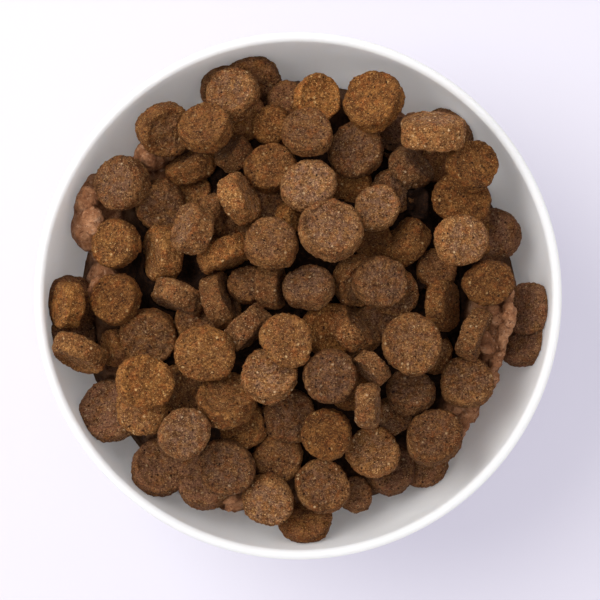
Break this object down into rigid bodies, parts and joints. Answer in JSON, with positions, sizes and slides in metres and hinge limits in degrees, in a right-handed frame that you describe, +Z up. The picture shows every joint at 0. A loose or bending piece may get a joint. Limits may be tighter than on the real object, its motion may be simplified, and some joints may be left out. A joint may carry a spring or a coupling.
{
  "type": "filled pet food bowl",
  "caption": "Round glazed ceramic bowl with a foot ring, heaped with disc-shaped dry pet food over minced wet food.",
  "frame": {"origin": "centre of the foot ring's underside, on the bowl's axis, where it stands on a table", "axes": "+Z up along the bowl's axis; seen from above as pictured, +X is to the right and +Y is up the image"},
  "size_m": [0.14, 0.14, 0.0808],
  "materials": {
    "glaze": "gloss",
    "wet_food": "satin",
    "kibble": "matte"
  },
  "bodies": {
    "root": {"bowl": "glaze", "wet_food": "wet_food", "kibble_01": "kibble", "kibble_02": "kibble", "kibble_03": "kibble", "kibble_04": "kibble", "kibble_05": "kibble", "kibble_06": "kibble", "kibble_07": "kibble", "kibble_08": "kibble", "kibble_09": "kibble", "kibble_10": "kibble", "kibble_11": "kibble", "kibble_12": "kibble", "kibble_13": "kibble", "kibble_14": "kibble", "kibble_15": "kibble", "kibble_16": "kibble", "kibble_17": "kibble", "kibble_18": "kibble", "kibble_19": "kibble", "kibble_20": "kibble", "kibble_21": "kibble", "kibble_22": "kibble", "kibble_23": "kibble", "kibble_24": "kibble", "kibble_25": "kibble", "kibble_26": "kibble", "kibble_27": "kibble", "kibble_28": "kibble", "kibble_29": "kibble", "kibble_30": "kibble", "kibble_31": "kibble", "kibble_32": "kibble", "kibble_33": "kibble", "kibble_34": "kibble", "kibble_35": "kibble", "kibble_36": "kibble", "kibble_37": "kibble", "kibble_38": "kibble", "kibble_39": "kibble", "kibble_40": "kibble", "kibble_41": "kibble", "kibble_42": "kibble", "kibble_43": "kibble", "kibble_44": "kibble", "kibble_45": "kibble", "kibble_46": "kibble", "kibble_47": "kibble", "kibble_48": "kibble", "kibble_49": "kibble", "kibble_50": "kibble", "kibble_51": "kibble", "kibble_52": "kibble", "kibble_53": "kibble", "kibble_54": "kibble", "kibble_55": "kibble", "kibble_56": "kibble", "kibble_57": "kibble", "kibble_58": "kibble"}
  },
  "joints": []
}
